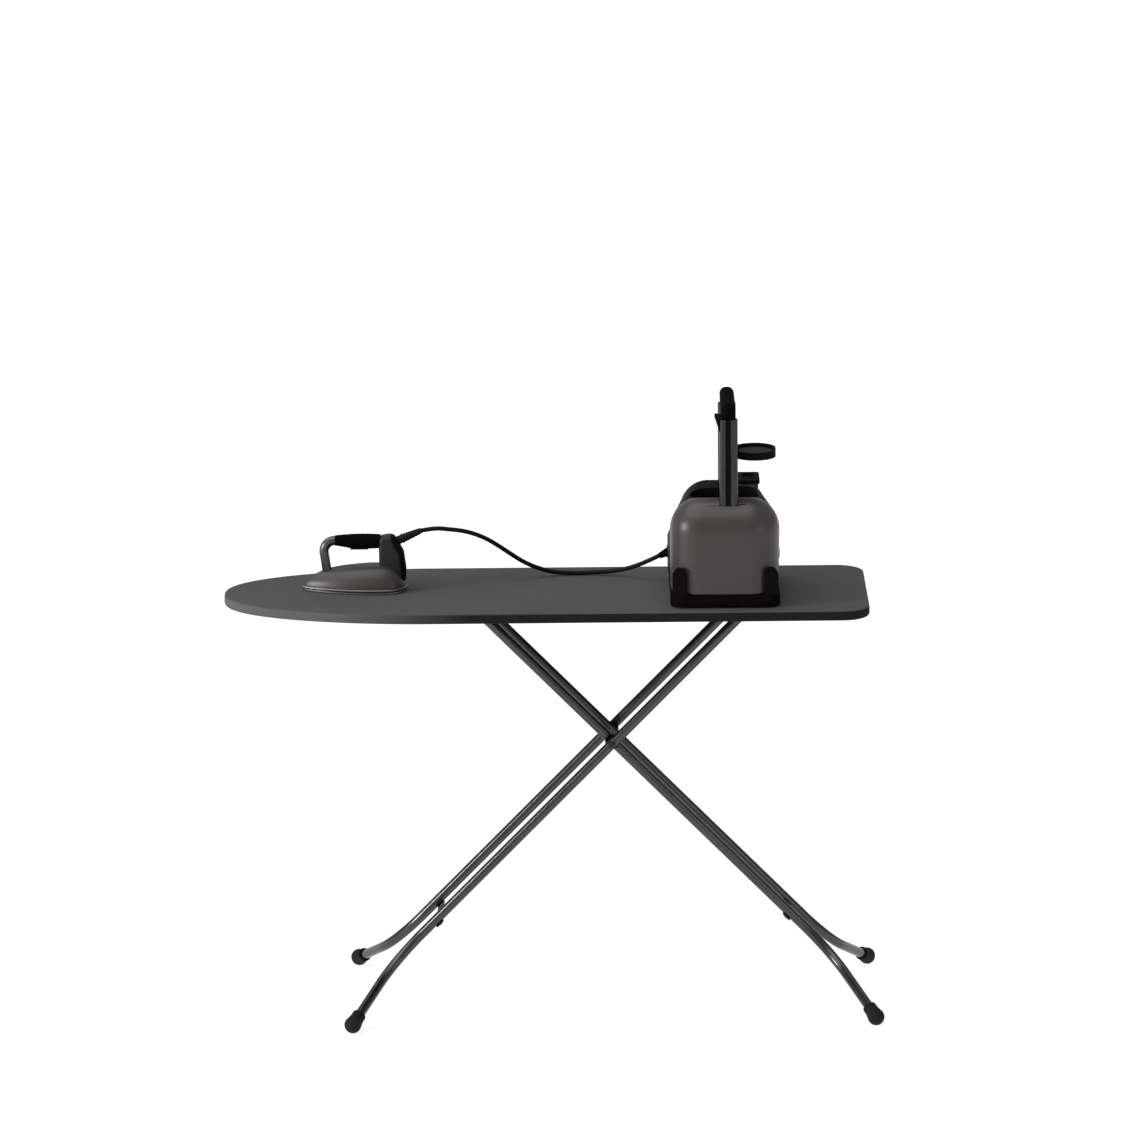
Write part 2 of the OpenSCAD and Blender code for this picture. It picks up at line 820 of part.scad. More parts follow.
// Steam hose: hand-set points from the iron's relief, down over the board, to the station's gland
HOSE = [
    [-262, 15, 972], [-243, 19, 974], [-227, 23, 974], [-207, 28, 971], [-187, 35, 967], [-167, 43, 961],
    [-147, 52, 952], [-127, 62, 940], [-107, 72, 925], [-87, 82, 909], [-67, 92, 893], [-47, 101, 880],
    [-27, 109, 870], [-3, 117, 861], [25, 122, 857], [53, 124, 856], [81, 123, 857], [105, 119, 859],
    [129, 112, 863], [153, 102, 870], [177, 89, 881], [197, 79, 892], [216, 70, 903]
];
hose_sides = 10;

module steam_hose() {
    color("#0c0c0c") swept_tube(HOSE, hose_d, hose_sides, [0, 0, 1]);
}

board_frame();
board_pad();
board_cover();
lock_rail();
hinge_bracket();
lever_pin();
lever_spring();
height_lever();
lever_grip();
outer_tube(1);  // outer_tube_near
outer_tube(0);  // outer_tube_far
outer_top_bar();
outer_brace();
outer_foot(1);  // outer_foot_near
outer_foot(0);  // outer_foot_far
pivot_bolt(1);  // pivot_bolt_near
pivot_bolt(0);  // pivot_bolt_far
inner_tube(1);  // inner_tube_near
inner_tube(0);  // inner_tube_far
inner_cross_bar();
inner_brace();
inner_foot(1);  // inner_foot_near
inner_foot(0);  // inner_foot_far
pivot_block(1);  // pivot_block_near
pivot_block(0);  // pivot_block_far
station_base();
cord_posts();
station_feet();
front_shell();
rear_housing();
park_mat();
boiler();
pump();
circuit_board();
hose_gland();
mains_inlet();
inlet_pins();
power_button();
handle_post(front_post_y);  // handle_post_front
handle_post(rear_post_y);  // handle_post_rear
handle_grip();
side_tray();
tray_mat();
tray_bracket();
hose_hook();
water_tank();
tank_lid();
soleplate();
sole_trim();
heater();
iron_cover();
iron_handle();
iron_grip();
iron_column();
iron_rear_cover();
hose_relief();
steam_trigger();
steam_hose();
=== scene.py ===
import math

import bmesh
import bpy
from mathutils import Matrix, Vector, geometry, noise


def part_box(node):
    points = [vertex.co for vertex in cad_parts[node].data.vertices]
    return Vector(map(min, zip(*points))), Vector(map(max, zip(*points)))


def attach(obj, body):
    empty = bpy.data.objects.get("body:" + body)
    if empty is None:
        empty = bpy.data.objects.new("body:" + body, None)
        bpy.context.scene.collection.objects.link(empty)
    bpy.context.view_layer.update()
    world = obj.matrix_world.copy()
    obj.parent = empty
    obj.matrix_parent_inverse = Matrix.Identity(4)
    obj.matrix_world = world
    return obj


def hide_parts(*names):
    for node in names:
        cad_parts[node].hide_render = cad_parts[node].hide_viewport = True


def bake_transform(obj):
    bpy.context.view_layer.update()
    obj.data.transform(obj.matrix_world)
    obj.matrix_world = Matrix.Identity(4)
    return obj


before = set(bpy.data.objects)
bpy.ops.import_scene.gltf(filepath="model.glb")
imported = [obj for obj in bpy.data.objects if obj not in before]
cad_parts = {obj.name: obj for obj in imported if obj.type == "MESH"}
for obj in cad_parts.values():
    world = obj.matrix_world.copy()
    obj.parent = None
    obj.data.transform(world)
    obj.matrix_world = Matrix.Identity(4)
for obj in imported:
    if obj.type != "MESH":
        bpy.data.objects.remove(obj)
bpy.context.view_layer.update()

# Camera: it stands fourteen metres in front of the board with a long lens, a little above the
# ironing surface, so that the board's top shows as a thin band and the legs keep their true angles.
view_centre = Vector((0.0197, 0.0, 0.9079))
view_distance = 14.136
view_down = math.radians(13.24)
view_turn = math.radians(0.101)
view_roll = math.radians(0.542)
looking = Vector((
    -math.sin(view_turn) * math.cos(view_down),
    math.cos(view_turn) * math.cos(view_down),
    -math.sin(view_down),
))
level_right = Vector((math.cos(view_turn), math.sin(view_turn), 0))
level_up = level_right.cross(looking)
camera_right = level_right * math.cos(view_roll) - level_up * math.sin(view_roll)
camera_up = level_right * math.sin(view_roll) + level_up * math.cos(view_roll)
camera_data = bpy.data.cameras.new("camera")
camera_data.sensor_width = 36
camera_data.lens = 225.6
camera_data.clip_end = 200
camera = bpy.data.objects.new("camera", camera_data)
bpy.context.collection.objects.link(camera)
turned = Matrix((camera_right, camera_up, -looking)).transposed().to_4x4()
camera.matrix_world = Matrix.Translation(view_centre - looking * view_distance) @ turned
bpy.context.scene.camera = camera

# Steam hose: a rubber tube under a tight black textile braid, nine millimetres thick. It leaves the
# iron's relief, sags to the board in one loose curve and rises to the gland on the station's side.


class Wire:
    """A socket in a material: sums on it add Math nodes, and node() adds any other kind."""

    def __init__(self, tree, socket=None):
        self.tree = tree
        self.socket = socket

    def node(self, kind, settings, sockets, out=0):
        made = self.tree.nodes.new("ShaderNode" + kind)
        for key, value in settings.items():
            if key == "stops":
                while len(made.color_ramp.elements) < len(value):
                    made.color_ramp.elements.new(0.5)
                for stop, (at, grey) in zip(made.color_ramp.elements, value):
                    stop.position = at
                    stop.color = (grey, grey, grey, 1)
            else:
                setattr(made, key, value)
        for key, value in sockets.items():
            if isinstance(value, Wire):
                self.tree.links.new(value.socket, made.inputs[key])
            else:
                made.inputs[key].default_value = value
        return Wire(self.tree, made.outputs[out])

    def maths(self, operation, first, second=0.0):
        return self.node("Math", {"operation": operation}, {0: first, 1: second})

    def __add__(self, other):
        return self.maths("ADD", self, other)

    __radd__ = __add__

    def __sub__(self, other):
        return self.maths("SUBTRACT", self, other)

    def __rsub__(self, other):
        return self.maths("SUBTRACT", other, self)

    def __mul__(self, other):
        return self.maths("MULTIPLY", self, other)

    __rmul__ = __mul__

    def __gt__(self, other):
        return self.maths("GREATER_THAN", self, other)

    def sine(self):
        return self.maths("SINE", self)

    def size(self):
        return self.maths("ABSOLUTE", self)

    def stretched(self, x, y, z):
        """A vector wire, scaled along its three axes."""
        return self.node("VectorMath", {"operation": "MULTIPLY"}, {0: self, 1: (x, y, z)})

    def axes(self):
        """The three numbers of a vector wire."""
        split = self.node("SeparateXYZ", {}, {0: self})
        return [Wire(self.tree, split.socket.node.outputs[i]) for i in range(3)]

    def noise(self, scale, detail=2.0):
        return self.node("TexNoise", {}, {"Vector": self, "Scale": scale, "Detail": detail})

    def ramp(self, *stops):
        return self.node("ValToRGB", {"stops": stops}, {"Fac": self})

    def between(self, low, high):
        """This wire as the share of the second colour in a mix of two."""
        return self.node("Mix", {"data_type": "RGBA"}, {0: self, 6: low, 7: high}, out=2)


def new_finish(name, **sockets):
    """A material with its unvarying sockets set; gives it, its shader and its piece's coordinates."""
    made = bpy.data.materials.new(name)
    made.use_nodes = True
    shader = made.node_tree.nodes["Principled BSDF"]
    for key, value in sockets.items():
        shader.inputs[key.replace("_", " ")].default_value = value
    return made, shader, Wire(made.node_tree).node("TexCoord", {}, {}, out="Object")


def lay_on(shader, colour, rough, height=None, relief=0.0):
    """Feeds the shader what varies over the surface: colour, roughness and fine relief in metres."""
    links = {"Base Color": colour, "Roughness": rough}
    if height is not None:
        links["Normal"] = height.node("Bump", {}, {"Height": height, "Distance": relief})
    for key, wire in links.items():
        wire.tree.links.new(wire.socket, shader.inputs[key])


def tone(colour, factor):
    """A colour made lighter or darker, with full opacity."""
    return tuple(min(1.0, c * factor) for c in colour) + (1.0,)


def make_piece(name, solid, finish, body=None, crease=38):
    """A piece drawn in millimetres as points and faces, hung on a body when one is given."""
    points, faces = solid
    mesh = bpy.data.meshes.new(name)
    mesh.from_pydata([Vector(p) * 0.001 for p in points], [], faces)
    shape = bmesh.new()
    shape.from_mesh(mesh)
    bmesh.ops.remove_doubles(shape, verts=shape.verts, dist=0.00002)
    bmesh.ops.recalc_face_normals(shape, faces=shape.faces)
    shape.to_mesh(mesh)
    shape.free()
    mesh.shade_smooth()
    mesh.set_sharp_from_angle(angle=math.radians(crease))
    made = bpy.data.objects.new(name, mesh)
    bpy.context.collection.objects.link(made)
    mesh.materials.append(finish)
    if body:
        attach(made, body)
    return made


def loft(rings, caps=True):
    """Skins rings of equal length with quads and closes both ends with one face each."""
    count = len(rings[0])
    points = [p for ring in rings for p in ring]
    faces = [
        (i * count + k, i * count + (k + 1) % count,
         (i + 1) * count + (k + 1) % count, (i + 1) * count + k)
        for i in range(len(rings) - 1) for k in range(count)
    ]
    if caps:
        last = (len(rings) - 1) * count
        faces += [tuple(range(count))[::-1], tuple(range(last, last + count))]
    return points, faces


hose_route = [
    (-0.262, 0.015, 0.972), (-0.243, 0.019, 0.974), (-0.227, 0.023, 0.974), (-0.207, 0.028, 0.971),
    (-0.187, 0.035, 0.967), (-0.167, 0.043, 0.961), (-0.147, 0.052, 0.952), (-0.127, 0.062, 0.940),
    (-0.107, 0.072, 0.925), (-0.087, 0.082, 0.909), (-0.067, 0.092, 0.893), (-0.047, 0.101, 0.880),
    (-0.027, 0.109, 0.870), (-0.003, 0.117, 0.861), (0.025, 0.122, 0.857), (0.053, 0.124, 0.856),
    (0.081, 0.123, 0.857), (0.105, 0.119, 0.859), (0.129, 0.112, 0.863), (0.153, 0.102, 0.870),
    (0.177, 0.089, 0.881), (0.197, 0.079, 0.892), (0.216, 0.070, 0.903),
]
hose_width = 0.009
hose_length = 0.547
hose_sides = 20
hose_line = []
for i in range(len(hose_route) - 1):
    before, here, there, after = (
        Vector(hose_route[min(max(i + k, 0), len(hose_route) - 1)]) for k in (-1, 0, 1, 2)
    )
    for t in (0, 0.25, 0.5, 0.75):
        hose_line.append(0.5 * (
            2 * here + (there - before) * t
            + (2 * before - 5 * here + 4 * there - after) * t ** 2
            + (3 * here - before - 3 * there + after) * t ** 3
        ))
hose_line.append(Vector(hose_route[-1]))
hose_rings = []
for i, centre in enumerate(hose_line):
    along = (hose_line[min(i + 1, len(hose_line) - 1)] - hose_line[max(i - 1, 0)]).normalized()
    side = along.cross(Vector((0, 0, 1))).normalized()
    over = side.cross(along)
    hose_rings.append([
        (centre + (side * math.cos(a) + over * math.sin(a)) * hose_width / 2) * 1000
        for a in (2 * math.pi * k / hose_sides for k in range(hose_sides))
    ])
braid, braid_shader, _ = new_finish("hose_braid", Metallic=0.0, Specular_IOR_Level=0.12)
wound = Wire(braid.node_tree).node("UVMap", {"uv_map": "braid"}, {})
wrap, run, _ = wound.axes()
yarns_round = 2 * math.pi * 8
yarns_along = 420
left_yarn = ((wrap * yarns_round + run * yarns_along).sine()).size()
right_yarn = ((wrap * yarns_round - run * yarns_along).sine()).size()
on_top = ((wrap * yarns_round).sine() * (run * yarns_along).sine()) > 0
yarns = on_top * left_yarn + (1 - on_top) * right_yarn
lay_on(
    braid_shader,
    yarns.between((0.001, 0.001, 0.001, 1), (0.006, 0.006, 0.005, 1)),
    0.62 - 0.14 * yarns,
    yarns, 0.0003,
)
hose = make_piece("steam_hose_braid", loft(hose_rings), braid, crease=80)
hose_uv = hose.data.uv_layers.new(name="braid")
for face in hose.data.polygons:
    turn = [0.0] * len(face.loop_indices)
    for n, corner in enumerate(face.loop_indices):
        spot = hose.data.vertices[hose.data.loops[corner].vertex_index].co
        step = min(range(len(hose_line)), key=lambda j: (hose_line[j] - spot).length_squared)
        along = (hose_line[min(step + 1, len(hose_line) - 1)] - hose_line[max(step - 1, 0)]).normalized()
        side = along.cross(Vector((0, 0, 1))).normalized()
        arm = spot - hose_line[step]
        angle = math.atan2(arm.dot(side.cross(along)), arm.dot(side)) / (2 * math.pi)
        turn[n] = (angle % 1.0, step * hose_length / (len(hose_line) - 1))
    seam = max(u for u, _ in turn) - min(u for u, _ in turn) > 0.5
    for n, corner in enumerate(face.loop_indices):
        u, v = turn[n]
        hose_uv.data[corner].uv = (u + 1 if seam and u < 0.5 else u, v)
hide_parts("steam_hose")
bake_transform(hose)

# Board deck: a perforated steel sheet, so that steam passes down through it, with its rim folded
# down and rolled in. It is powder-coated dark grey and carries the rail and the leg bracket.


def powder_coat(name, colour, rough=0.48):
    """Baked powder paint: a fine orange peel, faint cloudiness and rubbed edges."""
    made, shader, place = new_finish(name, Metallic=0.0, Specular_IOR_Level=0.3, Coat_Roughness=0.3)
    cloud = place.noise(9.0, 3.0)
    peel = place.noise(420.0, 2.0)
    rubbed = place.node("NewGeometry", {}, {}, out="Pointiness").ramp((0.52, 0.0), (0.62, 1.0))
    worn = rubbed * place.noise(70.0, 3.0).ramp((0.45, 0.0), (0.6, 1.0)) * 0.6
    paint = cloud.between(tone(colour, 0.82), tone(colour, 1.18))
    lay_on(
        shader,
        worn.between(paint, (0.3, 0.3, 0.3, 1)),
        rough - 0.08 + 0.16 * cloud - 0.15 * worn,
        peel, 0.00006,
    )
    return made


board_low, board_high = (p * 1000 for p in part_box("board_cover"))
board_bottom, board_top = board_low.z, board_high.z
board_half = (board_high.y - board_low.y) / 2
nose_tip = board_low.x
square_end = board_high.x
nose_length = 405
corner_radius = 55
nose_start = nose_tip + nose_length


def edge_half(x):
    """Half the board's width at x."""
    if x < nose_start:
        u = math.asin(min(1.0, ((nose_start - x) / nose_length) ** 0.9))
        return board_half * max(0.0, math.cos(u)) ** (2 / 2.3)
    if x > square_end - corner_radius:
        reach = min(corner_radius, x - square_end + corner_radius)
        return board_half - corner_radius + math.sqrt(corner_radius ** 2 - reach ** 2)
    return board_half


def board_edge(count):
    """Evenly spaced points all round the board's edge, each with its inward direction."""
    half = [Vector((nose_tip, 0))]
    for i in range(1, 241):
        u = math.radians(90 - 90 * i / 240)
        half.append(Vector((
            nose_start - nose_length * math.sin(u) ** (2 / 1.8), board_half * math.cos(u) ** (2 / 2.3)
        )))
    corner = Vector((square_end - corner_radius, board_half - corner_radius))
    for i in range(25):
        a = math.radians(90 - 90 * i / 24)
        half.append(corner + corner_radius * Vector((math.cos(a), math.sin(a))))
    half.append(Vector((square_end, 0)))
    run = [0.0]
    for a, b in zip(half, half[1:]):
        run.append(run[-1] + (b - a).length)
    even, j = [], 0
    for k in range(count // 2 + 1):
        goal = run[-1] * k / (count // 2)
        while j < len(run) - 2 and run[j + 1] < goal:
            j += 1
        share = (goal - run[j]) / (run[j + 1] - run[j])
        even.append(half[j].lerp(half[j + 1], share))
    edge = even + [Vector((p.x, -p.y)) for p in even[-2:0:-1]]
    inward = []
    for k, p in enumerate(edge):
        along = (edge[(k + 1) % len(edge)] - edge[k - 1]).normalized()
        inward.append(Vector((along.y, -along.x)))
    return edge, inward


def edge_ring(edge, inward, inset, z):
    return [(p.x + n.x * inset, p.y + n.y * inset, z) for p, n in zip(edge, inward)]


deck_paint = powder_coat("deck_paint", (0.05, 0.05, 0.052))
deck_top = board_top - 7.6
deck_edge, deck_inward = board_edge(240)
deck_outline = [Vector(p[:2]) for p in edge_ring(deck_edge, deck_inward, 3.6, 0)]
hole_pitch = 25
hole_radius = 7
loops = [deck_outline]
for row in range(-7, 8):
    y = row * hole_pitch * 0.866
    for column in range(-27, 27):
        x = (column + 0.5 * (row % 2)) * hole_pitch
        if min(edge_half(x - 12), edge_half(x + 12)) - abs(y) > 26 and x - nose_tip > 40:
            if square_end - x > 34:
                loops.append([
                    Vector((x + hole_radius * math.cos(a), y + hole_radius * math.sin(a)))
                    for a in (2 * math.pi * (k + 0.5) / 8 for k in range(8))
                ])
flat, edges = [], []
for loop in loops:
    start = len(flat)
    flat += loop
    edges += [(start + k, start + (k + 1) % len(loop)) for k in range(len(loop))]
flat, _, triangles, *_ = geometry.delaunay_2d_cdt(flat, edges, [], 2, 0.001)
deck = make_piece(
    "board_deck_sheet", ([(p.x, p.y, deck_top) for p in flat], [tuple(t) for t in triangles]),
    deck_paint, "board",
)
for vertex in deck.data.vertices:
    vertex.co.z = deck_top * 0.001
if deck.data.polygons[0].normal.z < 0:
    deck.data.flip_normals()
thick = deck.modifiers.new("sheet", "SOLIDIFY")
thick.thickness, thick.offset = 0.0014, -1
rim_profile = [
    (5.5, deck_top), (4.1, deck_top - 0.5), (3.5, deck_top - 2), (3.5, board_bottom + 5),
    (3.7, board_bottom + 3.2), (4.8, board_bottom + 2.1), (6.6, board_bottom + 2),
    (8.2, board_bottom + 2.8), (8.8, board_bottom + 4.4),
]
rim = make_piece(
    "board_deck_rim",
    loft([edge_ring(deck_edge, deck_inward, i, z) for i, z in rim_profile], caps=False),
    deck_paint, "board",
)
rolled = rim.modifiers.new("sheet", "SOLIDIFY")
rolled.thickness, rolled.offset = 0.0012, 0
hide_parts("board_frame")
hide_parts("board_frame")

# Felt pad: a six-millimetre needled felt laid on the deck under the cover. It is cut to the board's
# outline, crowned a little, and held only by the cover.
felt, felt_shader, felt_place = new_finish("pad_felt", Metallic=0.0, Sheen_Weight=0.3)
fibres = felt_place.stretched(1, 1, 3).noise(900.0, 4.0)
lay_on(
    felt_shader,
    fibres.between((0.30, 0.29, 0.27, 1), (0.55, 0.53, 0.50, 1)),
    0.85 + 0.1 * fibres,
    fibres, 0.0006,
)


def spine_rings(ring, z, steps):
    """Rings that close a ring of the board towards its middle line, flat at height z."""
    made = []
    for t in steps:
        made.append([
            (s + (x - s) * t, y * t, z)
            for x, y, _ in ring
            for s in [min(max(x, nose_tip + board_half), square_end - board_half)]
        ])
    return made


pad_edge, pad_inward = board_edge(300)
pad_profile = [(6, deck_top + 0.1), (4, deck_top + 0.6), (3.4, deck_top + 2.4),
               (4.2, board_top - 3.4), (6.5, board_top - 2.2), (12, board_top - 1.9)]
pad_rings = [edge_ring(pad_edge, pad_inward, i, z) for i, z in pad_profile]
pad_under = spine_rings(pad_rings[0], deck_top + 0.1, (0, 0.4, 0.8))
pad_over = spine_rings(pad_rings[-1], board_top - 1.9, (0.8, 0.5, 0.2, 0))
pad = make_piece(
    "board_pad_felt", loft(pad_under + pad_rings + pad_over, caps=False), felt, "board"
)
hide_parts("board_pad")

# Board cover: a dark grey cotton sheet drawn tight over the pad. Its edge is turned under the rim
# and gathered by an elastic in the hem; the band round its edge is painted dark as shade, with
# a painted highlight towards the nose.
cloth, cloth_shader, cloth_place = new_finish(
    "cover_cloth", Metallic=0.0, Specular_IOR_Level=0.12, Sheen_Weight=0.02, Sheen_Roughness=0.4
)
cloth_x, cloth_y, cloth_z = cloth_place.axes()
thread = 2 * math.pi / 0.0016
warp, weft = (cloth_x - cloth_z) * thread, (cloth_y + cloth_z) * thread
under_over = ((warp * 0.5).sine() * (weft * 0.5).sine()) > 0
threads = under_over * (warp * 0.5).sine().size() + (1 - under_over) * (weft * 0.5).sine().size()
slub = cloth_place.stretched(1, 14, 1).noise(38.0, 3.0)
faded = cloth_place.noise(3.2, 2.0)
top_cloth = (0.45 * slub + 0.25 * threads + 0.3 * faded).between(
    (0.031, 0.031, 0.032, 1), (0.088, 0.088, 0.090, 1)
)
# Painted light: the side band is painted darker than the top as shade, and lighter towards the nose as a
# painted highlight.
nose_highlight_start, nose_highlight_fall = 0.44, 3.6
painted_nose_highlight = ((cloth_x + nose_highlight_start) * nose_highlight_fall).ramp((0.0, 1.0), (1.0, 0.0))
side_shade_and_nose_highlight = painted_nose_highlight.between((0.009, 0.009, 0.008, 1), (0.092, 0.091, 0.089, 1))
band_drop, band_sharpness = 0.0022, 900
band_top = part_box("board_cover")[1].z - band_drop
band = ((band_top - cloth_z) * band_sharpness).ramp((0.0, 0.0), (1.0, 1.0))
lay_on(
    cloth_shader,
    band.between(top_cloth, side_shade_and_nose_highlight),
    0.80 + 0.12 * slub,
    threads + 0.6 * slub, 0.00022,
)
cover_edge, cover_inward = board_edge(720)
cover_profile = [
    (14, board_top), (8, board_top - 0.02), (5, board_top - 0.1), (3.6, board_top - 0.35),
    (2.2, board_top - 0.9), (1.1, board_top - 1.8), (0.4, board_top - 3.0), (0.1, board_top - 4.6),
    (0, board_top - 9),
    (0, board_bottom + 8), (0.2, board_bottom + 5), (0.9, board_bottom + 3), (2.2, board_bottom + 1.4),
    (4.2, board_bottom + 0.5), (7, board_bottom), (12, board_bottom + 0.2), (18, board_bottom + 0.4),
    (23, board_bottom + 0.4), (25.5, board_bottom + 0.3),
]
cover_rings = []
for i, z in cover_profile:
    ring = edge_ring(cover_edge, cover_inward, i, z)
    pucker = 0.75 * min(1.0, max(0.0, (i - 4) / 12)) if z < board_bottom + 2 else 0.0
    slack = 0.25 if 0 < board_top - z < 12 else 0.0
    moved = []
    for k, (x, y, up) in enumerate(ring):
        fold = pucker * (0.6 + 0.4 * math.sin(k * 0.37)) * math.sin(2 * math.pi * k / 4.6)
        ease = slack * noise.noise(Vector((x, y, up)) * 0.03)
        inset = cover_inward[k] * abs(ease)
        moved.append((x + inset.x, y + inset.y, up + abs(fold)))
    cover_rings.append(moved)
cover_top = spine_rings(cover_rings[0], board_top, (0, 0.1, 0.25, 0.4, 0.55, 0.7, 0.85, 0.95))
cover = make_piece(
    "board_cover_cloth", loft(cover_top + cover_rings, caps=False), cloth, "board",
    crease=70,
)
if max(cover.data.polygons, key=lambda f: f.center.z).normal.z < 0:
    cover.data.flip_normals()
weave = cover.modifiers.new("cloth", "SOLIDIFY")
weave.thickness, weave.offset = 0.0013, -1
elastic_rings = []
for k in range(0, 720, 2):
    p, n = cover_edge[k], cover_inward[k]
    lift = 0.5 * math.sin(2 * math.pi * k / 4.6)
    elastic_rings.append([
        (p.x + n.x * (25.2 + 1.5 * math.cos(a)), p.y + n.y * (25.2 + 1.5 * math.cos(a)),
         board_bottom + 2.0 + 0.3 * lift + 1.5 * math.sin(a))
        for a in (2 * math.pi * j / 8 for j in range(8))
    ])
elastic_points, elastic_faces = loft(elastic_rings, caps=False)
last_ring = len(elastic_rings) - 1
elastic_faces += [
    (last_ring * 8 + j, last_ring * 8 + (j + 1) % 8, (j + 1) % 8, j) for j in range(8)
]
elastic = make_piece(
    "board_cover_elastic", (elastic_points, elastic_faces), cloth, "board", crease=80
)
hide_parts("board_cover")
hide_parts("board_cover")

# Lock rail, leg bracket and height lever: folded steel under the board. The rail and the bracket are
# painted like the deck; the lever is bare zinc-plated plate with a moulded grip pushed onto it.


def soften(made, width, crease=35):
    """Rounds a hard piece's edges by so many millimetres and keeps its flats flat."""
    if made.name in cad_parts:
        made.modifiers.new("join", "WELD").merge_threshold = 0.00001
    edge = made.modifiers.new("edge", "BEVEL")
    edge.width, edge.segments = width * 0.001, 2
    edge.limit_method, edge.angle_limit = "ANGLE", math.radians(crease)
    edge.use_clamp_overlap = True
    made.modifiers.new("flats", "WEIGHTED_NORMAL").keep_sharp = True


def dress(finish, *names, edge=0.0):
    """Gives built nodes a finish and, where edge is set, rounded edges."""
    for name in names:
        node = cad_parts[name]
        for slot in node.material_slots:
            slot.material = finish
        if edge:
            soften(node, edge)


def plated(name, colour, rough, stretch=(1, 1, 1), brushing=500.0):
    """Bare or plated metal with fine drawn lines and a little tarnish."""
    made, shader, place = new_finish(name, Metallic=1.0)
    lines = place.stretched(*stretch).noise(brushing, 2.0)
    tarnish = place.noise(24.0, 4.0)
    lay_on(
        shader,
        tarnish.between(tone(colour, 0.78), tone(colour, 1.12)),
        rough - 0.06 + 0.12 * tarnish + 0.08 * lines,
        lines, 0.00002,
    )
    return made


dress(powder_coat("rail_paint", (0.02, 0.02, 0.021)), "lock_rail", "hinge_bracket", edge=0.5)
zinc = plated("zinc_plate", (0.55, 0.56, 0.57), 0.30)
dress(zinc, "height_lever", edge=0.5)
dress(zinc, "lever_pin", edge=0.3)
dress(plated("spring_wire", (0.45, 0.46, 0.48), 0.24), "lever_spring")


def moulded(name, colour, rough, grain=0.00005, coat=0.0, gloss=0.07):
    """Moulded plastic with a spark-eroded grain, faint flow marks and polished edges."""
    made, shader, place = new_finish(
        name, Metallic=0.0, Specular_IOR_Level=gloss, Coat_Weight=coat, Coat_Roughness=0.25
    )
    flow = place.noise(14.0, 3.0)
    pits = place.noise(1500.0, 2.0)
    rubbed = place.node("NewGeometry", {}, {}, out="Pointiness").ramp((0.52, 0.0), (0.66, 1.0))
    colours = (0.7 * flow + 0.3 * pits).between(tone(colour, 0.84), tone(colour, 1.16))
    lay_on(
        shader,
        (rubbed * 0.35).between(colours, tone(colour, 1.9)),
        rough - 0.05 + 0.1 * flow - 0.1 * rubbed,
        pits, grain,
    )
    return made


def ball_ring(balls, tilt, count=48):
    """The outline round a hull of balls (x, y, z, r), at a tilt above their equators."""
    ring = []
    for k in range(count):
        a = 2 * math.pi * (k + 0.5) / count
        x, y, z, r = max(
            balls, key=lambda b: b[0] * math.cos(a) + b[1] * math.sin(a) + b[3] * math.cos(tilt)
        )
        ring.append((
            x + r * math.cos(tilt) * math.cos(a), y + r * math.cos(tilt) * math.sin(a),
            z + r * math.sin(tilt),
        ))
    return ring


def pebble(balls, rise=0.0, steps=12, count=48):
    """A smooth solid over a hull of balls, parted by rise either side of their middle."""
    tilts = [math.pi * (i / steps - 0.5) for i in range(steps + 1)]
    rings = []
    for tilt in tilts[:steps // 2 + 1] + tilts[steps // 2:] if rise else tilts:
        rings.append(ball_ring(balls, tilt, count))
    if rise:
        for i, ring in enumerate(rings):
            move = -rise if i <= steps // 2 else rise
            rings[i] = [(x, y, z + move) for x, y, z in ring]
    return loft(rings)


lever_z = 821
grip_black = moulded("grip_black", (0.003, 0.0028, 0.0025), 0.62, gloss=0.004)
lever_balls = [(x, y, lever_z, 8) for x in (46, 82, 118) for y in (-9, 9)]
lever_grip = make_piece("height_lever_grip", pebble(lever_balls), grip_black, "lever")
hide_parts("lever_grip")

# Legs: two pairs of bent steel tube crossed in an X, finished in dark polished nickel. Each pair is
# tied by a bar at its top and by a flat strap above the splayed feet; the pivot bolts are blackened.


def drawn_tube(name, lean):
    """Dark nickel on drawn tube, with the drawing marks along a leg that leans by so many degrees."""
    made, shader, place = new_finish(name, Metallic=1.0)
    straight = place.node("Mapping", {}, {0: place, 2: (0, math.radians(lean), 0)})
    marks = straight.stretched(0.01, 1, 1).noise(260.0, 1.0)
    cloud = straight.stretched(0.1, 1, 1).noise(9.0, 2.0)
    dust = place.noise(40.0, 3.0).ramp((0.5, 0.0), (0.8, 1.0))
    lay_on(
        shader,
        (0.15 * marks + 0.85 * cloud).between((0.050, 0.050, 0.050, 1), (0.092, 0.092, 0.092, 1)),
        0.22 + 0.04 * cloud + 0.05 * dust,
        marks, 0.0000006,
    )
    return made


outer_nickel = drawn_tube("outer_leg_nickel", -45.4)
inner_nickel = drawn_tube("inner_leg_nickel", 45.4)
dress(outer_nickel, "outer_tube_near", "outer_tube_far", "outer_top_bar")
dress(inner_nickel, "inner_tube_near", "inner_tube_far", "inner_cross_bar")
dress(powder_coat("strap_paint", (0.012, 0.012, 0.0125)), "outer_brace", "inner_brace", edge=0.5)
dress(powder_coat("bolt_black", (0.010, 0.010, 0.010)), "pivot_bolt_near", "pivot_bolt_far", edge=0.4)
dress(grip_black, "pivot_block_near", "pivot_block_far", edge=0.8)

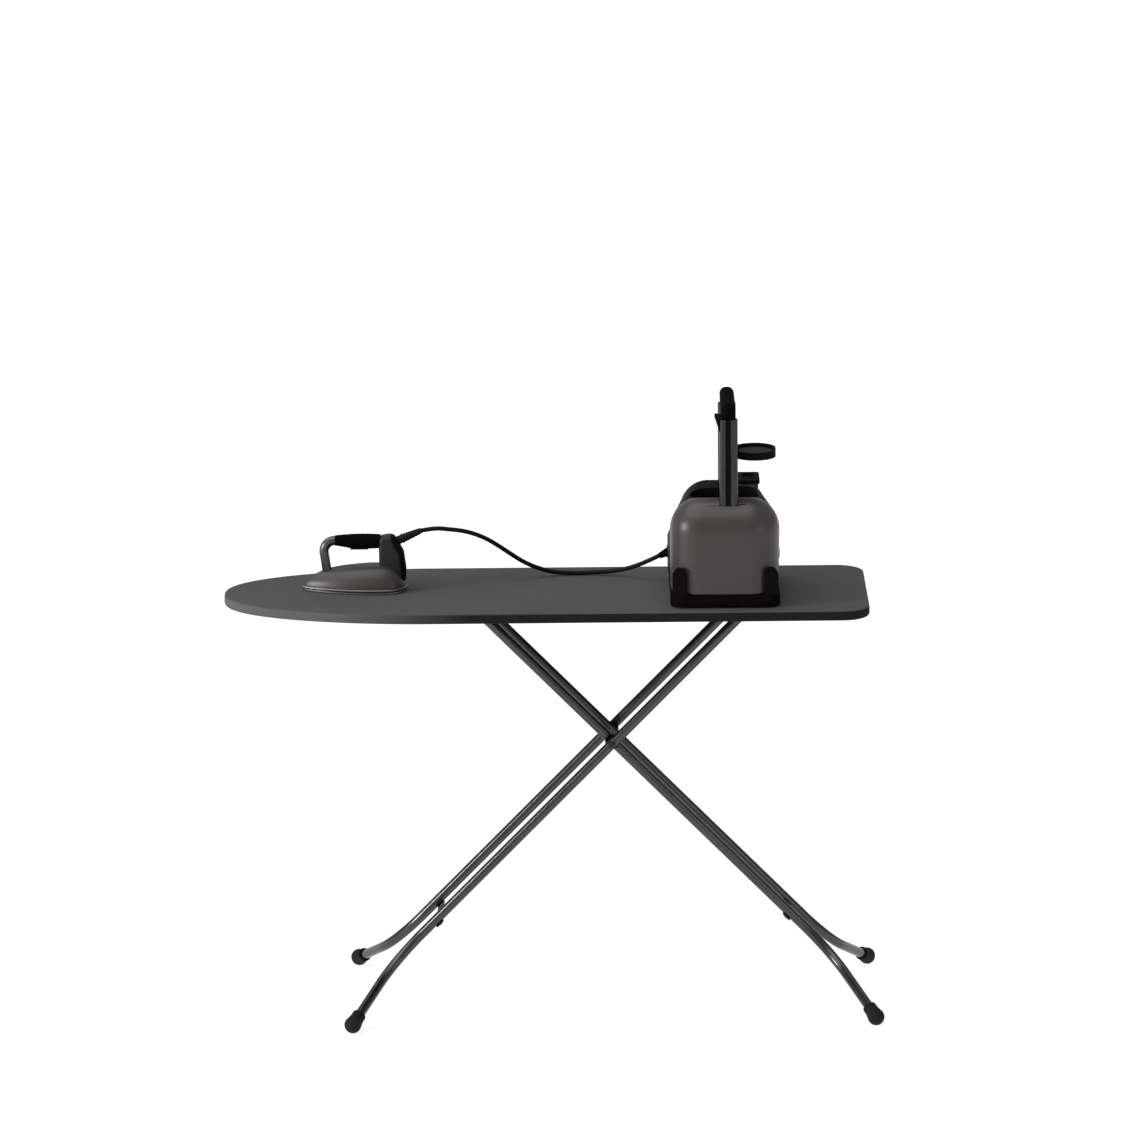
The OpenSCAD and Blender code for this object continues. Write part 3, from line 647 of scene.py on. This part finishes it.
# Feet: black rubber caps pushed onto the splayed tube ends, swelling to a round heel that is flat
# where it stands. The rubber is matt and dusty towards the floor.
rubber, rubber_shader, rubber_place = new_finish("foot_rubber", Metallic=0.0, Specular_IOR_Level=0.08)
speckle = rubber_place.noise(1100.0, 3.0)
height_off_floor = rubber_place.axes()[2]
scuffed = (height_off_floor * 28).ramp((0.0, 1.0), (1.0, 0.0)) * rubber_place.noise(60.0, 4.0)
lay_on(
    rubber_shader,
    (0.25 * speckle + 0.7 * scuffed).between((0.004, 0.004, 0.0035, 1), (0.035, 0.034, 0.031, 1)),
    0.62 + 0.25 * scuffed,
    speckle, 0.00012,
)
dress(rubber, "outer_foot_near", "outer_foot_far", "inner_foot_near", "inner_foot_far", edge=1.2)

# Station base: a black glass-filled nylon tray on four rubber pads, with four upright posts at its
# corners for winding the cord. It is screwed to the shells from below.
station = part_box("station_base")
station_x, station_y = ((station[0][i] + station[1][i]) * 500 for i in (0, 1))
base_black = moulded("base_black", (0.003, 0.0026, 0.0022), 0.5, gloss=0.02)
dress(base_black, "station_base", edge=2.5)
dress(base_black, "cord_posts", edge=1.5)
dress(rubber, "station_feet", edge=0.6)

# Station shells: a warm grey satin front shell and a black rear housing, both in ABS three
# millimetres thick, snapped together behind the front handle post round a recess for the iron.
side_radius = 60
front_top_radius = 64
rear_top_radius = 56
rear_lean = 21.6
shell_wall = 3
shell_low = 27
mat_top = 178
split_y = -64
post_x = 8
front_post_y = -100
rear_post_y = 60


def on_station(solid):
    """Moves a solid drawn about the middle of the station's base to its place on the board."""
    points, faces = solid
    return [(x + station_x, y + station_y, z + board_top) for x, y, z in points], faces


def body_form(g):
    """The station's outer form, drawn g inside its surface."""
    low = [(x * 48, -80, 0, side_radius - g) for x in (-1, 1)]
    low += [(x * 52, 80, 0, side_radius - g) for x in (-1, 1)]
    top = [(x * 45, -76, 148, front_top_radius - g) for x in (-1, 1)]
    top += [(x * 30, 80, 155, rear_top_radius - g) for x in (-1, 1)]
    rings = []
    foot = ((shell_low, 2.0), (shell_low + 1.2, 0.6), (shell_low + 4, 0), (50, 0), (76, 0), (100, 0))
    for z, tuck in foot:
        balls = [(x, y, 0, r - tuck) for x, y, _, r in low]
        rings.append([(x, y, z + (g if z == shell_low else 0)) for x, y, _ in ball_ring(balls, 0, 96)])
    for share in (step / 16 for step in range(17)):
        ahead = ball_ring(top, math.radians(90 * share), 96)
        behind = ball_ring(top, math.radians(rear_lean + (90 - rear_lean) * share), 96)
        rings.append([p if p[1] < 0 else q for p, q in zip(ahead, behind)])
    first, second = rings[5], rings[6]
    between = [
        [tuple(a + (b - a) * t for a, b in zip(p, q)) for p, q in zip(first, second)] for t in (0.33, 0.67)
    ]
    return loft(rings[:6] + between + rings[6:])


def slab(x, y, w, d, r, z0, z1):
    """An upright block with round corners, about a middle point."""
    balls = [(x + i * (w / 2 - r), y + j * (d / 2 - r), 0, r) for i in (-1, 1) for j in (-1, 1)]
    return loft([[(u, v, z) for u, v, _ in ball_ring(balls, 0)] for z in (z0, z1)])


def block(x0, x1, y0, y1, z0, z1):
    """A square block between two corners."""
    return loft([[(x0, y0, z), (x1, y0, z), (x1, y1, z), (x0, y1, z)] for z in (z0, z1)])


def disc(centre, along, radius, length, count=32):
    """A straight round bar from a point, in a direction."""
    along = Vector(along).normalized()
    side = along.orthogonal().normalized()
    over = along.cross(side)
    return loft([
        [
            tuple(Vector(centre) + along * t + (side * math.cos(a) + over * math.sin(a)) * radius)
            for a in (2 * math.pi * k / count for k in range(count))
        ]
        for t in (0, length)
    ])


def carve(solid, tool, operation="DIFFERENCE"):
    """What is left of one solid after it is cut, joined or kept by another."""
    pair = []
    for points, faces in (solid, tool):
        mesh = bpy.data.meshes.new("carved")
        mesh.from_pydata(points, [], faces)
        shape = bmesh.new()
        shape.from_mesh(mesh)
        bmesh.ops.remove_doubles(shape, verts=shape.verts, dist=0.001)
        bmesh.ops.recalc_face_normals(shape, faces=shape.faces)
        shape.to_mesh(mesh)
        shape.free()
        pair.append(bpy.data.objects.new("carved", mesh))
        bpy.context.collection.objects.link(pair[-1])
    cut = pair[0].modifiers.new("cut", "BOOLEAN")
    cut.operation, cut.object, cut.solver = operation, pair[1], "EXACT"
    left = pair[0].evaluated_get(bpy.context.evaluated_depsgraph_get()).to_mesh()
    result = [tuple(v.co) for v in left.vertices], [tuple(f.vertices) for f in left.polygons]
    pair[0].to_mesh_clear()
    for made in pair:
        mesh = made.data
        bpy.data.objects.remove(made)
        bpy.data.meshes.remove(mesh)
    return result


def park_recess(g):
    return slab(0, -35, 134 + 2 * g, 90 + 2 * g, 24 + g, mat_top - g, 260)


def tank_bay(g):
    return block(30 - g, 70 + g, 30 - g, 106 + g, 60 - g, 300)


def post_slot(y):
    half_width, half_depth = 18.5, 11.5
    return block(
        post_x - half_width, post_x + half_width, y - half_depth, y + half_depth, 60, 260
    )


outer_form = body_form(0)
inner_form = body_form(shell_wall)
front = carve(outer_form, block(-200, 200, -300, split_y, 0, 300), "INTERSECT")
front = carve(front, inner_form)
for tool in (park_recess(0.2), post_slot(front_post_y)):
    front = carve(front, tool)
shell_grey = moulded("shell_grey", (0.040, 0.035, 0.030), 0.36, grain=0.00003, gloss=0.32)
front_shell = make_piece(
    "station_front_shell", on_station(front), shell_grey, "station"
)
soften(front_shell, 0.9)
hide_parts("front_shell")

rear = carve(outer_form, block(-200, 200, split_y + 0.3, 300, 0, 300), "INTERSECT")
hollow = carve(carve(inner_form, park_recess(shell_wall)), tank_bay(1.2 + shell_wall))
rear = carve(rear, hollow)
for tool in (
    park_recess(0), tank_bay(1.2), post_slot(rear_post_y),
    block(-14.5, 14.5, 111, 171, 45.5, 66.5), disc((97, 84, 60), (1, 0, 0), 9.3, 30),
):
    rear = carve(rear, tool)
for k in range(6):
    rear = carve(rear, block(-80 + 9 * k, -76 + 9 * k, 136, 160, 90, 122))
housing_black = moulded("housing_black", (0.006, 0.0055, 0.005), 0.5, gloss=0.008)
rear_housing = make_piece(
    "station_rear_housing", on_station(rear), housing_black, "station"
)
soften(rear_housing, 0.8)
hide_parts("rear_housing")
dress(moulded("mat_silicone", (0.02, 0.02, 0.019), 0.75), "park_mat", edge=0.6)

# Inside the station: a polished steel boiler, a pump and a green circuit board. They show only with
# the water tank lifted out.
dress(plated("boiler_steel", (0.62, 0.62, 0.61), 0.22), "boiler", edge=1.0)
dress(moulded("pump_grey", (0.16, 0.16, 0.16), 0.5), "pump", edge=1.0)
board_green, green_shader, green_place = new_finish("circuit_green", Metallic=0.0, Coat_Weight=0.5)
tracks = green_place.node(
    "TexBrick", {}, {"Vector": green_place, "Scale": 220.0, "Mortar Size": 0.03}, out=1
)
lay_on(
    green_shader, tracks.between((0.010, 0.075, 0.022, 1), (0.03, 0.16, 0.05, 1)),
    0.4 + 0.1 * tracks, tracks, 0.00005,
)
dress(board_green, "circuit_board", edge=0.3)

# Connections: the hose gland is pressed into the station's left side, the mains socket with its
# three plated pins opens at the back, and the power button stands out on the right.
dress(grip_black, "hose_gland", edge=0.8)
dress(base_black, "mains_inlet", edge=0.6)
dress(zinc, "inlet_pins", edge=0.3)
dress(moulded("button_grey", (0.035, 0.035, 0.036), 0.32), "power_button", edge=1.0)

# Handle: two extruded posts in brushed anodised aluminium with a groove down each face, painted
# black as shade; a rubber-skinned grip across their tops, a round side tray and a hook for the hose.
post_metal, post_shader, post_place = new_finish("post_metal", Metallic=0.9)
brushed = post_place.stretched(1, 1, 0.02).noise(1400.0, 2.0)
smear = post_place.noise(20.0, 3.0)
anodised = (0.6 * brushed + 0.4 * smear).between((0.026, 0.025, 0.025, 1), (0.064, 0.062, 0.062, 1))
groove_x = post_x - 1
groove_width = 11
# Painted shade: a black stripe runs down each post's faces along the groove, as shade in the groove.
groove_shade_half_width = groove_width * 0.00046
outside_groove_shade = (post_place.axes()[0] - (station_x + groove_x) * 0.001).size() > groove_shade_half_width
lay_on(
    post_shader,
    outside_groove_shade.between((0.002, 0.002, 0.002, 1), anodised),
    0.26 + 0.1 * brushed + 0.06 * smear,
    brushed, 0.00002,
)
post_low, post_high = (p * 1000 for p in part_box("handle_post_front"))
post_width, post_depth = post_high.x - post_low.x, post_high.y - post_low.y
for node, y in (("handle_post_front", front_post_y), ("handle_post_rear", rear_post_y)):
    bar = slab(
        post_x, y, post_width, post_depth, 6, post_low.z - board_top, post_high.z - board_top
    )
    for side in (-1, 1):
        groove = slab(groove_x, y + side * post_depth / 2, groove_width, 6, 2.4, 100, 369)
        bar = carve(bar, groove)
    post = make_piece(node + "_bar", on_station(bar), post_metal, "handle")
    soften(post, 1.6)
    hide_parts(node)
grip_height = 394
grip_radius = 13
grip_balls = [
    (post_x + i * 1.5, y, grip_height, grip_radius) for y in (front_post_y, rear_post_y) for i in (-1, 1)
]
grip_bar = pebble(grip_balls, steps=20, count=64)
for y in (front_post_y, rear_post_y):
    grip_bar = carve(grip_bar, slab(post_x, y, 28, 25, 12, 375.2, grip_height), "UNION")
handle_grip = make_piece(
    "station_handle_grip", on_station(grip_bar), grip_black, "handle"
)
soften(handle_grip, 1.5)
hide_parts("handle_grip")
dress(housing_black, "side_tray", edge=2.0)
dress(moulded("tray_rubber", (0.03, 0.03, 0.029), 0.8, grain=0.0002), "tray_mat", edge=0.5)
dress(housing_black, "tray_bracket", edge=1.5)
dress(housing_black, "hose_hook", edge=1.0)

# Water tank: a smoke-grey blow-moulded tank that lifts out of the rear housing by its black lid.
tank_smoke = moulded("tank_smoke", (0.045, 0.048, 0.052), 0.18, grain=0.00001, coat=0.4)
dress(tank_smoke, "water_tank", edge=1.5)
dress(housing_black, "tank_lid", edge=1.8)

# Iron sole: a cast aluminium plate with steam ports, under a dark plated trim ring that stands a
# little proud all round. The heater block is cast onto it inside the cover.
iron_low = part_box("sole_trim")[0] * 1000
iron_x = iron_low.x
iron_y = sum(p.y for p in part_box("sole_trim")) * 500
sole_length = 212
sole_half = 52
wide_at = 150


def sole_edge(x):
    if x < wide_at:
        return sole_half * math.sin(math.pi / 2 * x / wide_at) ** 0.8
    share = (x - wide_at) / (sole_length - wide_at)
    return sole_half * max(0.0, 1 - share ** 2.6) ** 0.5


def sole_ring(inset, z, count=36):
    """The iron's plan at a height, shrunk about the point where it is widest."""
    k = (sole_half - inset) / sole_half
    marks = [wide_at * (1 - math.cos(math.pi / 2 * i / count)) for i in range(count)]
    marks += [wide_at + (sole_length - wide_at) * math.sin(math.pi / 2 * i / 18) for i in range(19)]
    side = [(wide_at * (1 - k) + k * x, k * sole_edge(x)) for x in marks]
    outline = side + [(x, -y) for x, y in side[-2:0:-1]]
    return [(iron_x + x, iron_y + y, board_top + z) for x, y in outline]


plate = loft([sole_ring(i, z) for i, z in ((3.2, 0.2), (2.0, 0.5), (1.5, 1.2), (1.5, 4.0))])
for x in (40, 62, 84, 106, 128, 150, 172):
    for side in (-1, 1):
        place = (iron_x + x, iron_y + side * 0.62 * sole_edge(x), board_top - 2)
        plate = carve(plate, disc(place, (0, 0, 1), 2.2, 4, 12))
cast_metal = plated("sole_cast", (0.42, 0.42, 0.43), 0.3, (1, 12, 1), 300.0)
soleplate = make_piece("iron_soleplate", plate, cast_metal, "iron")
soften(soleplate, 0.3)
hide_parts("soleplate")
trim = make_piece(
    "iron_sole_trim",
    loft([sole_ring(i, z) for i, z in (
        (2.0, 4.0), (0.7, 4.4), (-0.3, 5.4), (-0.9, 6.8), (-0.8, 8.2), (-0.2, 9.3), (0.8, 10.0), (2.2, 10.4)
    )]),
    plated("trim_polish", (0.13, 0.125, 0.12), 0.32), "iron", crease=50,
)
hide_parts("sole_trim")
dress(cast_metal, "heater", edge=0.8)

# Iron cover: one domed shell in the same warm grey as the station's front, swelling back from the
# nose and closed under the handle, clipped down onto the trim.
dome = (
    (2.0, 9.2), (2.2, 12), (3.0, 17), (4.5, 22.5), (6.8, 28.5), (9.6, 34), (13.0, 39.2), (17.0, 43.6),
    (21.5, 47.2), (26.5, 50), (32, 51.8), (38, 52.6), (44, 52.9), (49, 53),
)
iron_cover = make_piece(
    "iron_cover_shell", loft([sole_ring(i, z, 44) for i, z in dome]), shell_grey, "iron",
    crease=60,
)
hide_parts("iron_cover")

# Iron handle: a bent aluminium tube rises from the cover's nose into a soft black grip, which ends in
# the rear column. The steam trigger hangs in a pocket under the grip.
dress(plated("handle_tube", (0.085, 0.084, 0.082), 0.28), "iron_handle")
grip_line = (
    (68, 102, 9.2), (68.6, 102, 10.4), (74, 102, 11.2), (82, 101.6, 12.3), (92, 101, 13.3),
    (100, 100.2, 14.9), (116, 100, 15.4), (134, 100, 15.4), (144, 100, 15), (152, 100, 14.6),
    (160, 100, 14.2),
)
grip_rings = []
for x, z, r in grip_line:
    grip_rings.append([
        (iron_x + x, iron_y + r * math.cos(a) * 0.98, board_top + z + r * math.sin(a))
        for a in (2 * math.pi * k / 40 for k in range(40))
    ])
grip_solid = carve(loft(grip_rings), block(
    iron_x + 98.5, iron_x + 135.5, iron_y - 7.5, iron_y + 7.5, board_top + 70, board_top + 95
))
iron_grip = make_piece("iron_grip_sleeve", grip_solid, grip_black, "iron")
soften(iron_grip, 0.6)
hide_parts("iron_grip")
dress(moulded("trigger_grey", (0.010, 0.010, 0.010), 0.36), "steam_trigger", edge=0.8)

# Iron column: the grey rear column carries the grip and the hose, with a black cover down its back
# and a ribbed rubber relief where the hose comes out.
column_balls = [
    (167, 101, 11), (177, 100, 13.5), (190, 74, 14.5), (167, 46, 10.5), (194, 44, 14.5), (196.5, 27, 11.5)
]


def column_form(grow, shift_x, shift_z):
    """The column on its side, then stood up in the iron's own middle plane."""
    balls = [(x + shift_x, z + shift_z, 0, r + grow) for x, z, r in column_balls]
    points, faces = pebble(balls, rise=8, steps=16, count=72)
    return [(iron_x + x, iron_y + y, board_top + z) for x, z, y in points], faces


column_grey = moulded("column_grey", (0.014, 0.014, 0.014), 0.42, gloss=0.15)
column = make_piece(
    "iron_column_shell", column_form(0, 0, 0), column_grey, "iron", crease=50
)
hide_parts("iron_column")
rear_cap = make_piece(
    "iron_rear_cap", carve(column_form(-1, 3.5, 0.5), column_form(-0.2, 0, 0)),
    housing_black, "iron", crease=50,
)
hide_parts("iron_rear_cover")
dress(rubber, "hose_relief", edge=0.6)

# Floor and light: a pale seamless floor that glows by itself, so that shadows on it stay faint. A sun
# stands overhead, with one soft box at the upper left and a weaker one at the right.
floor_data = bpy.data.meshes.new("floor")
floor_data.from_pydata([(-40, -40, 0), (40, -40, 0), (40, 60, 0), (-40, 60, 0)], [], [(0, 1, 2, 3)])
floor = bpy.data.objects.new("floor", floor_data)
bpy.context.collection.objects.link(floor)
floor_finish, floor_shader, floor_place = new_finish(
    "floor_paper", Metallic=0.0, Specular_IOR_Level=0.0, Emission_Color=(1, 1, 1, 1), Emission_Strength=0.85
)
fleck = floor_place.noise(2.0, 3.0)
lay_on(floor_shader, fleck.between((0.20, 0.20, 0.20, 1), (0.24, 0.24, 0.24, 1)), 0.9 + 0.05 * fleck)
floor_data.materials.append(floor_finish)
sky = bpy.data.worlds.new("studio")
sky.use_nodes = True
sky.node_tree.nodes["Background"].inputs["Color"].default_value = (1, 1, 1, 1)
sky.node_tree.nodes["Background"].inputs["Strength"].default_value = 0.42
bpy.context.scene.world = sky
for name, kind, place, size, power in (
    ("daylight", "SUN", (-2.0, -0.6, 8.0), 1.2, 2.2),
    ("left_box", "AREA", (-4.2, -1.8, 1.9), 1.3, 150),
    ("right_box", "AREA", (3.4, -3.0, 1.6), 1.4, 12),
):
    lamp_data = bpy.data.lights.new(name, kind)
    lamp_data.energy = power
    if kind == "SUN":
        lamp_data.angle = size
    else:
        lamp_data.size = size
    lamp = bpy.data.objects.new(name, lamp_data)
    bpy.context.collection.objects.link(lamp)
    lamp.location = place
    lamp.rotation_euler = (Vector((0, 0, 0.8)) - Vector(place)).to_track_quat("-Z", "Y").to_euler()
bpy.context.scene.view_settings.view_transform = "Standard"
